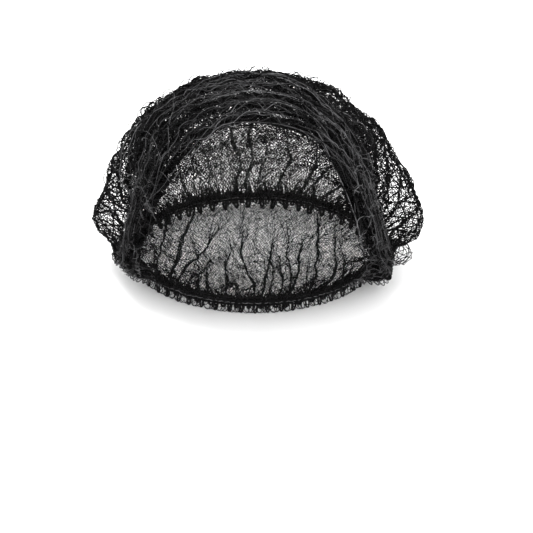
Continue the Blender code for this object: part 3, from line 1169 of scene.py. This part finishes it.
def loop_row(row, thick, steps, sides, seed):
    """A row of U shapes hung from the band: across as a cosine, down as the square root of a sine.

    off is where they start beside the oval, slant how far they have moved outwards at their lowest point.
    """
    start, (half, low, off, slant) = row[0], np.array(row[1:5]) * MM
    random = np.random.default_rng(seed)
    share = (np.arange(FLUTES) + start + random.uniform(-0.09, 0.09, FLUTES)) / FLUTES
    turn = np.linspace(0.0, math.pi, steps)[None, :]
    wide = half * random.uniform(0.85, 1.2, (FLUTES, 1))
    point, out, along = rim_frame(np.repeat(share[:, None], steps, axis=1))
    depth = (BAND_LOW + 1.0 * MM - low) * random.uniform(0.88, 1.0, (FLUTES, 1))
    height = BAND_LOW + 1.0 * MM - depth * np.sqrt(np.abs(np.sin(turn)))
    lean = random.normal(0.0, 0.15, (FLUTES, 1))
    outward = off + slant * np.sin(turn) + random.uniform(-0.4, 0.4, (FLUTES, 1)) * MM
    sideways = wide * np.cos(turn) + lean * (BAND_LOW - height)
    paths = point + out * outward[..., None] + along * sideways[..., None] + UP * height[..., None]
    return tube_arrays(paths, thick, out, sides)


def joined(parts):
    """One list of points and one of faces out of several."""
    shift = np.cumsum([0] + [len(part[0]) for part in parts[:-1]])
    points = np.concatenate([part[0] for part in parts])
    return points, np.concatenate([part[1] + first for first, part in zip(shift, parts)])


# %% [markdown]
# ## Two rows of loops and seven of lace
#
# One loop repeated all round would look stamped. Each row of a table gives its own place, width, drop and
# slant, and the rows of thin yarn in between make the lace that joins the loops.

# %% Hang the loops and the lace
LOOP_ROWS = [
    # start, half width, lowest point, off, slant, thickness, all mm but the first
    (0.50, 1.40, 1.2, -1.6, -2.0, 1.12),
    (0.00, 1.35, 1.2, 1.4, 1.4, 0.80),
]
LACE_ROWS = [
    # start, half width, lowest point, off, slant, all mm but the first
    (0.50, 0.7, 2.4, -1.4, -1.0),
    (0.00, 2.9, 1.2, -1.0, -0.4),
    (0.50, 3.4, 1.8, 1.8, 1.6),
    (0.08, 2.2, 2.6, 1.0, 0.6),
    (0.28, 2.5, 1.4, 1.6, 1.8),
    (0.74, 2.4, 1.0, 1.2, 1.2),
    (0.90, 1.6, 1.7, 2.0, 1.4),
]
rows = [loop_row(row, row[5] * MM, LOOP_STEPS, 6, 71 + number) for number, row in enumerate(LOOP_ROWS)]
points, faces = joined(rows)
tone = np.repeat(np.random.default_rng(73).uniform(0.1, 0.9, 2 * FLUTES), LOOP_STEPS * 6)
hem_loops = mesh_piece("hem_loops", points, faces, LOOP, tone)

rows = [loop_row(row, FINE_YARN, LACE_STEPS, 4, 80 + number) for number, row in enumerate(LACE_ROWS)]
points, faces = joined(rows)
tone = np.random.default_rng(90).uniform(0, 1, len(points)) ** 2
hem_lace = mesh_piece("hem_lace", points, faces, NET, tone)
for piece in (hem_loops, hem_lace):
    hand_over(piece, "hem_ruffle")

# %% [markdown]
# ## The covering thread
#
# A thin thread is sewn along the middle of the elastic, outside and inside. Its pale grey is a painted
# highlight on the black elastic. It dips between the ribs, so only parts of it show.

# %% Thread
THREAD_STEPS = 832

# The thread's pale grey is a painted highlight on the black elastic.
THREAD_HIGHLIGHT = yarn_material("thread_painted_highlight", (0.07, 0.07, 0.072), (0.26, 0.26, 0.27), 1500.0, 0.3)


def thread_path(side):
    """A closed path at mid height of the band, in and out by a wave with one crest for each rib."""
    share = np.arange(THREAD_STEPS) / THREAD_STEPS
    rib = np.abs(np.sin(math.pi * RIBS * share)) ** 0.7
    off = side * (BAND_THICKNESS / 2 - 0.55 * MM + 0.95 * MM * rib)
    height = BAND_MIDDLE + 0.6 * MM * around_noise(THREAD_STEPS, 40, 12)
    return rim_path(share, off, height)


parts = []
for outward in (1, -1):
    path = thread_path(outward)
    path = np.concatenate([path, path[:1]])[None]
    beside = np.broadcast_to(UP, path.shape)
    parts.append(tube_arrays(path, 0.28 * MM, beside, sides=4))
points, faces = joined(parts)
tone = np.random.default_rng(91).uniform(0, 1, len(points))
rim_thread = mesh_piece("rim_thread", points, faces, THREAD_HIGHLIGHT, tone)
hand_over(rim_thread, "elastic_band")

# %% [markdown]
# ## Yarn along the pleats
#
# On the ridge of each closed pleat the yarns bunch side by side and catch the light, so grey lines run from
# corner to corner. That grey is a painted highlight: these yarns are coloured light grey. They are made as
# long thin tubes that lie in and just over the face of the crescent. Each keeps its share of the crescent's
# width but for a slow drift, so the lines cross at shallow angles.

# %% Ridge yarn
RIDGES = 150
RIDGE_STEPS = 33

# The light colour is a painted highlight: grey where bunched fibres on the pleat ridges catch the light.
RIDGE_HIGHLIGHT = yarn_material("ridge_yarn_painted_highlight", (0.003, 0.003, 0.0031), (0.170, 0.170, 0.176), 260.0, 0.12)


def sheet_at(place_u, place_v):
    """Points of the sheet between its knots, from the four nearest, at shares of its two directions."""
    u = np.clip(place_u, 0, 1) * ACROSS
    v = np.clip(place_v, 0, 1) * ALONG
    i = np.clip(np.floor(u).astype(int), 0, ACROSS - 1)
    j = np.clip(np.floor(v).astype(int), 0, ALONG - 1)
    a = (u - i)[..., None]
    b = (v - j)[..., None]
    low = smooth_knots[i, j] * (1 - a) + smooth_knots[i + 1, j] * a
    high = smooth_knots[i, j + 1] * (1 - a) + smooth_knots[i + 1, j + 1] * a
    return low * (1 - b) + high * b


def ridge_paths():
    """Paths on the crown along the crescent: over = inner edge plus a drifting share of the width."""
    random = np.random.default_rng(101)
    t = np.linspace(0.0, 1.0, RIDGE_STEPS)[None, :]
    middle = random.uniform(0.10, 0.90, (RIDGES, 1))
    reach = random.uniform(0.05, 0.26, (RIDGES, 1))
    along = np.clip(middle + reach * (2 * t - 1), 0.03, 0.97)
    wave = random.normal(0, 0.22, (RIDGES, 1)) * np.sin(random.uniform(3, 8, (RIDGES, 1)) * t + 6 * middle)
    small = random.uniform(0.01, 0.035, (RIDGES, 1))
    wave = wave + small * np.sin(random.uniform(16, 44, (RIDGES, 1)) * t + 9 * reach)
    level = np.clip(random.uniform(-0.05, 1.0, (RIDGES, 1)) + wave, -0.15, 1.1)
    inner, outer = crescent(along)
    paths = globe_place(theta_of(along), (inner + (outer - inner) * level) * math.pi)
    arms = unit(paths - HEART)
    lift = random.uniform(-3.0, 1.2, (RIDGES, 1)) + 0.5 * np.sin(25 * t + 8 * middle)
    paths = paths + arms * lift[..., None] * MM
    radius = random.uniform(0.12, 0.28, (RIDGES, 1)) * MM * (1 - np.abs(2 * t - 1) ** 3) + 0.05 * MM
    return paths, radius, arms


smooth_knots = smoothed(knots, 4)
paths, radius, beside = ridge_paths()
points, faces = tube_arrays(paths, radius, beside, sides=4)
# The tone says how much of the painted highlight each ridge yarn shows, by chance.
tone = np.repeat(np.random.default_rng(102).uniform(0.0, 1.0, RIDGES) ** 2, RIDGE_STEPS * 4)
ridge_yarn = mesh_piece("ridge_yarn", points, faces, RIDGE_HIGHLIGHT, tone)
hand_over(ridge_yarn, "crown_net")

# %% [markdown]
# ## Creases
#
# Each fold draws the yarns on both its sides together, so it reads as a dark line that is thick at the rim,
# wanders and splits on its way up, and thins out. Its bunched yarns follow the fold's own track on the sheet,
# and spread apart towards the rim. Single yarns branch off it sideways like twigs.

# %% Crease yarn
CREASE_STEPS = 24
CREASE_TWIGS = 12
BACK_CREASE_TIMES = 1.4
TWIG_STEPS = 7
LOOSE_TWIGS = 170


def wiggle(random, count, steps, waves, size):
    """A smooth chance line for each of count paths: a sum of three sines of more and more waves."""
    t = np.linspace(0.0, 1.0, steps)[None, :]
    total = np.zeros((count, steps))
    for number, share in ((1.0, 1.0), (2.3, 0.6), (4.7, 0.35)):
        phase = random.uniform(0, 2 * math.pi, (count, 1))
        speed = 2 * math.pi * waves * number * random.uniform(0.7, 1.3, (count, 1))
        total += share * np.sin(speed * t + phase)
    return size * total / 1.3


def crease_paths():
    """Yarns along the fold tracks: the track plus a sway for each, wider at the rim and split at the tip."""
    random = np.random.default_rng(121)
    t = np.linspace(0.0, 1.0, CREASE_STEPS)
    paths = []
    radii = []
    twigs = []
    for (track, force), fold in zip(creases, FRONT_FOLDS + BACK_FOLDS):
        rows = np.flatnonzero(force > 0.02)
        low, high = rows[0], rows[-1]
        low, high = (low, high) if low < ALONG / 2 - 1 else (high, low)
        place = low + (high - low) * t
        u = np.interp(place, np.arange(ALONG + 1), track)
        strength = np.clip(np.interp(place, np.arange(ALONG + 1), force) / fold[-1], 0, 1)
        yarns = round(3 + 2.4 * fold[-1])
        spread = random.normal(0, 0.0030, (yarns, 1)) * (0.20 + 0.80 * (1 - t) ** 2)
        shared = wiggle(random, 1, CREASE_STEPS, 1.4, 0.0012)
        sway = spread + shared + wiggle(random, yarns, CREASE_STEPS, 1.6, 0.0006)
        split = random.uniform(-1, 1, (yarns, 1)) * 0.030 * smooth_step((t - 0.45) / 0.55) ** 1.5
        up = place / ALONG + wiggle(random, yarns, CREASE_STEPS, 2.0, 0.0008)
        paths.append(sheet_at(u + sway + split, up))
        sign = 1 if high > low else -1
        thick = (0.65 + 0.40 * fold[-1]) * (1.0 if sign > 0 else BACK_CREASE_TIMES)
        radii.append(random.uniform(0.16, 0.32, (yarns, 1)) * MM * thick * (0.42 + 0.58 * strength))
        step = random.integers(2, CREASE_STEPS - 4, CREASE_TWIGS)
        twigs.append(np.stack([u[step], place[step] / ALONG, np.full(CREASE_TWIGS, sign)], axis=-1))
    return np.concatenate(paths), np.concatenate(radii), np.concatenate(twigs)


# %% [markdown]
# ## Twigs
#
# Single yarns leave a crease sideways and thin out, like twigs off a branch. Some more lie by themselves in
# the slack net. They are tubes as well, only shorter and with more bow.


# %% Twigs, and all of it joined
def twig_paths(roots):
    """Short single yarns: from each root upwards and to one side, in a bow with a wiggle."""
    random = np.random.default_rng(131)
    count = len(roots)
    t = np.linspace(0.0, 1.0, TWIG_STEPS)[None, :]
    aside = random.choice([-1.0, 1.0], (count, 1)) * random.uniform(2.0, 11.0, (count, 1)) * MM / SHEET_WIDTH
    rise = random.uniform(4.0, 17.0, (count, 1)) * MM / SHEET_LENGTH * roots[:, 2:]
    bow = random.normal(0, 2.0, (count, 1)) * MM / SHEET_WIDTH * np.sin(math.pi * t)
    u = roots[:, :1] + aside * t**1.3 + bow + wiggle(random, count, TWIG_STEPS, 0.8, 0.0010)
    v = roots[:, 1:2] + rise * t + wiggle(random, count, TWIG_STEPS, 0.8, 0.0007)
    radius = random.uniform(0.22, 0.38, (count, 1)) * MM * (1 - 0.55 * t)
    return sheet_at(u, v), radius


def loose_roots():
    """Places for twigs of their own in the slack net before and behind the crescent."""
    random = np.random.default_rng(141)
    u = random.uniform(0.12, 0.88, LOOSE_TWIGS)
    front = random.uniform(size=LOOSE_TWIGS) < 0.6
    v = np.where(front, random.uniform(0.02, 0.27, LOOSE_TWIGS), random.uniform(0.78, 0.98, LOOSE_TWIGS))
    return np.stack([u, v, random.choice([-1.0, 1.0], LOOSE_TWIGS)], axis=-1)


crease_lines, crease_radius, roots = crease_paths()
twig_lines, twig_radius = twig_paths(np.concatenate([roots, loose_roots()]))
lines = ((crease_lines, crease_radius), (twig_lines, twig_radius))
points, faces = joined([tube_arrays(paths, radius, unit(paths - HEART)) for paths, radius in lines])
tone = np.random.default_rng(122).uniform(0, 0.4, len(points))
crease_yarn = mesh_piece("crease_yarn", points, faces, NET, tone)
hand_over(crease_yarn, "crown_net")
print("creases", len(crease_lines), "twigs", len(twig_lines))

# %% [markdown]
# ## Stray loops
#
# Along the back edge of the crescent slack yarn stands off the net in thin arches, with both feet in the net.
# They soften the outline against the light.

# %% Stray loops
STRAYS = 150
STRAY_STEPS = 11
STRAY_RADIUS = 0.34 * MM


def stray_paths():
    """Arches on the crown: along it as a straight share, off it as a sine, with a little chance in both."""
    random = np.random.default_rng(171)
    t = np.linspace(0.0, 1.0, STRAY_STEPS)[None, :]
    along = random.uniform(0.10, 0.90, (STRAYS, 1))
    over = crescent(along)[1] + random.uniform(-0.10, 0.12, (STRAYS, 1))
    reach = random.uniform(0.020, 0.045, (STRAYS, 1))
    lean = random.normal(0, 0.6, (STRAYS, 1))
    place = along + reach * (t - 0.5) * np.cos(lean) + wiggle(random, STRAYS, STRAY_STEPS, 0.7, 0.0016)
    tall = over + reach * (t - 0.5) * np.sin(lean)
    paths = globe_place(theta_of(np.clip(place, 0.02, 0.98)), tall * math.pi)
    arms = unit(paths - HEART)
    lift = random.uniform(4.5, 7.5, (STRAYS, 1)) * np.sin(math.pi * t) - 3.8
    return paths + arms * lift[..., None] * MM, arms


paths, beside = stray_paths()
points, faces = tube_arrays(paths, STRAY_RADIUS, beside, sides=4)
tone = np.random.default_rng(172).uniform(0, 0.6, len(points))
stray_loops = mesh_piece("stray_loops", points, faces, NET, tone)
hand_over(stray_loops, "crown_net")

# %% [markdown]
# ## The tacked corners
#
# At each end the whole sheet is drawn into one small bunch and tacked. The bunch is bound tight, so it is a
# ribbed column that leans from the crown down onto the rim. The yarn beside it is squeezed and curls out in
# all directions: many curly tubes that wander over the outside of the crown. Net that the tack doesn't catch
# stands out in small open puffs, made of the same kind of strands as the sheet.

# %% The bound column
CURLS = 100
CURL_STEPS = 21
COLUMN_RIBS = 15
RIB_STEPS = 16

# The light colour is a painted highlight on the curls and on the column's windings.
CURL_HIGHLIGHT = yarn_material("curled_yarn_painted_highlight", (0.002, 0.002, 0.0021), (0.150, 0.150, 0.155), 300.0, 0.12)


def corner_middle(side):
    """The middle of the box of a corner's solid."""
    low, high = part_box("corner_gather_right" if side > 0 else "corner_gather_left")
    return np.array([(low.x + high.x) / 2, (low.y + high.y) / 2, (low.z + high.z) / 2])


def column_line(side):
    """Two ends of the bound bunch: at the tacked corner and on the rim in front of it."""
    corner = corner_middle(side) + UP * 1.0 * MM + np.array([0.0, -0.6, 0.8]) * 6.0 * MM
    point, out = rim_frame(np.array([0.615 if side < 0 else 0.885]))[:2]
    return corner, point[0] + out[0] * 5.0 * MM + UP * (BAND_HIGH + 3.0 * MM)


def column_ribs(side, seed):
    """Closed rings round the column's line, one for each winding: a circle with a little chance added."""
    random = np.random.default_rng(seed)
    corner, foot = column_line(side)
    t = (np.arange(COLUMN_RIBS) + 0.5)[:, None] / COLUMN_RIBS
    middle = to_crown(corner + (foot - corner) * t)
    middle = middle + unit(middle - HEART) * 0.5 * MM
    way = unit(foot - corner) + random.normal(0, 0.16, (COLUMN_RIBS, 3))
    one = unit(np.cross(way, UP))
    two = unit(np.cross(way, one))
    turn = np.linspace(0, 2 * math.pi, RIB_STEPS)[None, :, None]
    dent = 1 + 0.08 * np.sin(3 * turn + random.uniform(0, 6, (COLUMN_RIBS, 1, 1)))
    reach = (4.4 - 1.4 * t[..., None]) * MM * dent
    paths = middle[:, None, :] + reach * (one[:, None, :] * np.cos(turn) + two[:, None, :] * np.sin(turn))
    paths[..., 2] = np.maximum(paths[..., 2], 2.0 * MM)
    return paths, random.uniform(0.35, 0.6, (COLUMN_RIBS, 1)) * MM


# %% [markdown]
# ## Curls
#
# Where the net is squeezed its yarn springs back into curls. A curl is a bent line with a coil on it, drawn
# in the face of the crown and then laid on it, so that it lies close and isn't a spring in the air.


# %% Curls
def corner_curls(side, seed):
    """Curly lines on the crown beside a corner: a bent line plus a coil, both in the crown's face."""
    random = np.random.default_rng(seed)
    t = np.linspace(0.0, 1.0, CURL_STEPS)[None, :]
    near = 0.012 + 0.24 * random.uniform(size=(CURLS, 1)) ** 1.3
    along = near if side < 0 else 1 - near
    over = random.uniform(0.03, 0.95, (CURLS, 1)) * crescent(along)[1]
    base = globe_place(theta_of(along), over * math.pi)
    one = unit(globe_place(theta_of(along + 0.01), over * math.pi) - base)
    two = unit(np.cross(one, base - HEART))
    turn = random.uniform(0, 2 * math.pi, (CURLS, 1))
    length = random.uniform(7, 24, (CURLS, 1)) * MM
    coil = random.uniform(1.0, 4.0, (CURLS, 1)) * 2 * math.pi * t + random.uniform(0, 6, (CURLS, 1))
    wide = random.uniform(0.4, 2.0, (CURLS, 1)) * MM
    ahead = length * (t - 0.5) + wide * np.cos(coil)
    aside = random.normal(0, 0.8, (CURLS, 1)) * length * (t - 0.5) ** 2 + wide * np.sin(coil)
    x = (ahead * np.cos(turn) - aside * np.sin(turn))[..., None]
    y = (ahead * np.sin(turn) + aside * np.cos(turn))[..., None]
    paths = to_crown(base + one * x + two * y)
    lift = random.uniform(-1.0, 1.6, (CURLS, 1)) + 0.5 * np.sin(coil)
    paths = paths + unit(paths - HEART) * lift[..., None] * MM
    paths[..., 2] = np.maximum(paths[..., 2], 1.0 * MM)
    radius = random.uniform(0.16, 0.36, (CURLS, 1)) * MM * (1 - 0.7 * np.abs(2 * t - 1) ** 2)
    return paths, radius


# %% [markdown]
# ## Small puffs
#
# Net that the tack doesn't catch bulges out beside the corner. Each bulge is an egg of knots with a soft
# noise on its size, joined along both diagonals by the same kind of strands as the sheet.

# %% Small puffs
PUFF_TURNS = 24
PUFF_RINGS = 13
PUFFS = {
    # out from the middle of the corner, back, up, and size, all mm
    1: [(13.0, 3.0, 3.0, 12.5), (4.0, -9.0, -5.0, 7.5)],
    -1: [(8.0, 1.0, 0.0, 7.5), (-2.0, -9.0, -5.0, 6.5)],
}


def corner_puff(side, row, seed):
    """A small open puff of net beside a corner: an egg of knots joined along both diagonals."""
    random = np.random.default_rng(seed)
    out, back, up, size = row
    middle = corner_middle(side) + np.array([side * out, back, up]) * MM
    middle[2] = max(middle[2], (0.85 * size + 1.0) * MM)
    turns = np.linspace(0, 2 * math.pi, PUFF_TURNS + 1)
    turn, tilt = np.meshgrid(turns, np.linspace(-1.45, 1.45, PUFF_RINGS + 1), indexing="ij")
    way = np.stack([np.cos(turn) * np.cos(tilt), np.sin(turn) * np.cos(tilt), np.sin(tilt)], axis=-1)
    reach = size * (1 + 0.14 * soft_noise(turn.shape, (5, 4), seed))
    reach[-1] = reach[0]
    points = middle + way * reach[..., None] * np.array([1.0, 0.9, 0.80]) * MM
    inner = points[1:-1, 1:-1]
    inner += random.normal(0, 0.35, inner.shape) * MM
    i, j = np.meshgrid(np.arange(PUFF_TURNS), np.arange(PUFF_RINGS), indexing="ij")
    starts, ends, outs = [], [], []
    for step in (0, 1):
        keep = ((i + j) % 2 == step) & (random.uniform(size=i.shape) < 0.9)
        a = (i[keep] + step, j[keep])
        b = (i[keep] + 1 - step, j[keep] + 1)
        starts.append(points[a])
        ends.append(points[b])
        outs.append(way[a])
    start = np.concatenate(starts)
    radius = random.uniform(0.22, 0.48, (len(start), 1)) * MM
    return strand_arrays(start, np.concatenate(ends), np.concatenate(outs), radius)


# %% [markdown]
# ## Both corners
#
# The curls, the column and the puffs of a corner are joined into one piece. Chance gives the tone of the
# curls and of the column's windings, which is how much painted highlight they show, and the puffs get the
# darkest tone, with no painted highlight.

# %% Join each corner
BESIDE = np.array([0.31, 0.82, 0.48])
for side_of, label in ((-1, "left"), (1, "right")):
    curls = tube_arrays(*corner_curls(side_of, 111 + side_of), BESIDE)
    ribs = tube_arrays(*column_ribs(side_of, 151 + side_of), BESIDE, sides=6)
    puff = joined([corner_puff(side_of, row, 161 + number) for number, row in enumerate(PUFFS[side_of])])
    points, faces = joined([curls, ribs, puff])
    random = np.random.default_rng(112)
    tone = np.zeros(len(points))
    # How much of the painted highlight each curl and each winding shows, by chance.
    curl_highlight_tone = np.repeat(random.uniform(0, 1, CURLS) ** 1.5, CURL_STEPS * 4)
    rib_highlight_tone = np.repeat(random.uniform(0.2, 0.9, COLUMN_RIBS), RIB_STEPS * 6)
    tone[: len(curl_highlight_tone) + len(rib_highlight_tone)] = np.concatenate([curl_highlight_tone, rib_highlight_tone])
    piece = mesh_piece(f"corner_yarn_{label}", points, faces, CURL_HIGHLIGHT, tone)
    hand_over(piece, f"corner_gather_{label}")

# %% [markdown]
# ## Stage, light and camera
#
# A pale floor and soft light from above, in front and behind, as for a catalogue picture. The camera stands
# in front of the cap and looks down at it by 35 degrees.

# %% Floor and lights
LIT_PLACE = Vector((0, 0, 0.08))


def make_floor(size):
    """One wide square, matt and nearly white."""
    mesh = bpy.data.meshes.new("floor")
    corners = [(-size, -size, 0), (size, -size, 0), (size, size, 0), (-size, size, 0)]
    mesh.from_pydata(corners, [], [(0, 1, 2, 3)])
    material = bpy.data.materials.new("pale_floor")
    material.use_nodes = True
    shader = material.node_tree.nodes["Principled BSDF"]
    shader.inputs["Base Color"].default_value = (0.95, 0.95, 0.95, 1.0)
    shader.inputs["Roughness"].default_value = 0.8
    mesh.materials.append(material)
    floor = bpy.data.objects.new("floor", mesh)
    bpy.context.scene.collection.objects.link(floor)


def make_light(name, place, size, power):
    """A square soft light that points at the middle of the cap."""
    data = bpy.data.lights.new(name, "AREA")
    data.size = size
    data.energy = power
    light = bpy.data.objects.new(name, data)
    light.location = place
    light.rotation_euler = (LIT_PLACE - Vector(place)).to_track_quat("-Z", "Y").to_euler()
    bpy.context.scene.collection.objects.link(light)


# %% [markdown]
# ## Camera
#
# A long lens from far away keeps the near and the far side of the rim at almost the same scale. Its length
# follows from the distance and from the number of pixels that a metre should fill.

# %% Camera
VIEW_TILT = math.radians(35.0)
VIEW_FAR = 3.0
PIXELS = 533
PIXELS_PER_M = 1200.0
RIM_PIXEL = (255.0, 258.0)


def make_camera():
    """A long lens at the picture's scale, shifted so that the rim stands at its place in the frame."""
    data = bpy.data.cameras.new("camera")
    data.sensor_width = 36.0
    data.lens = 36.0 * VIEW_FAR * PIXELS_PER_M / PIXELS
    data.clip_end = 50.0
    data.shift_x = (PIXELS / 2 - RIM_PIXEL[0]) / PIXELS
    data.shift_y = (RIM_PIXEL[1] - PIXELS / 2) / PIXELS
    camera = bpy.data.objects.new("camera", data)
    target = Vector((RIM_X, RIM_Y, 0.0))
    camera.location = target + Vector((0, -math.cos(VIEW_TILT), math.sin(VIEW_TILT))) * VIEW_FAR
    camera.rotation_euler = (math.pi / 2 - VIEW_TILT, 0, 0)
    bpy.context.scene.collection.objects.link(camera)
    bpy.context.scene.camera = camera


# %% [markdown]
# ## The stage put together
#
# The key light stands high and a little behind, the fill in front, and a third light lower down behind. A
# bright even world fills the shadows, so that the net reads black on nearly white.

# %% Set the stage
make_floor(8.0)
make_light("key", (-0.4, 0.7, 2.2), 1.2, 46.0)
make_light("fill", (0.3, -1.8, 1.7), 1.8, 14.0)
make_light("back", (0.2, 1.8, 1.2), 1.6, 18.0)
make_camera()
bpy.context.scene.view_settings.view_transform = "Standard"
world = bpy.data.worlds.new("studio")
world.use_nodes = True
world.node_tree.nodes["Background"].inputs["Color"].default_value = (1, 1, 1, 1)
world.node_tree.nodes["Background"].inputs["Strength"].default_value = 1.50
bpy.context.scene.world = world

# %% Finish
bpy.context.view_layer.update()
meshes = [thing.data for thing in bpy.data.objects if thing.type == "MESH"]
print("triangles", sum(len(face.vertices) - 2 for mesh in meshes for face in mesh.polygons))
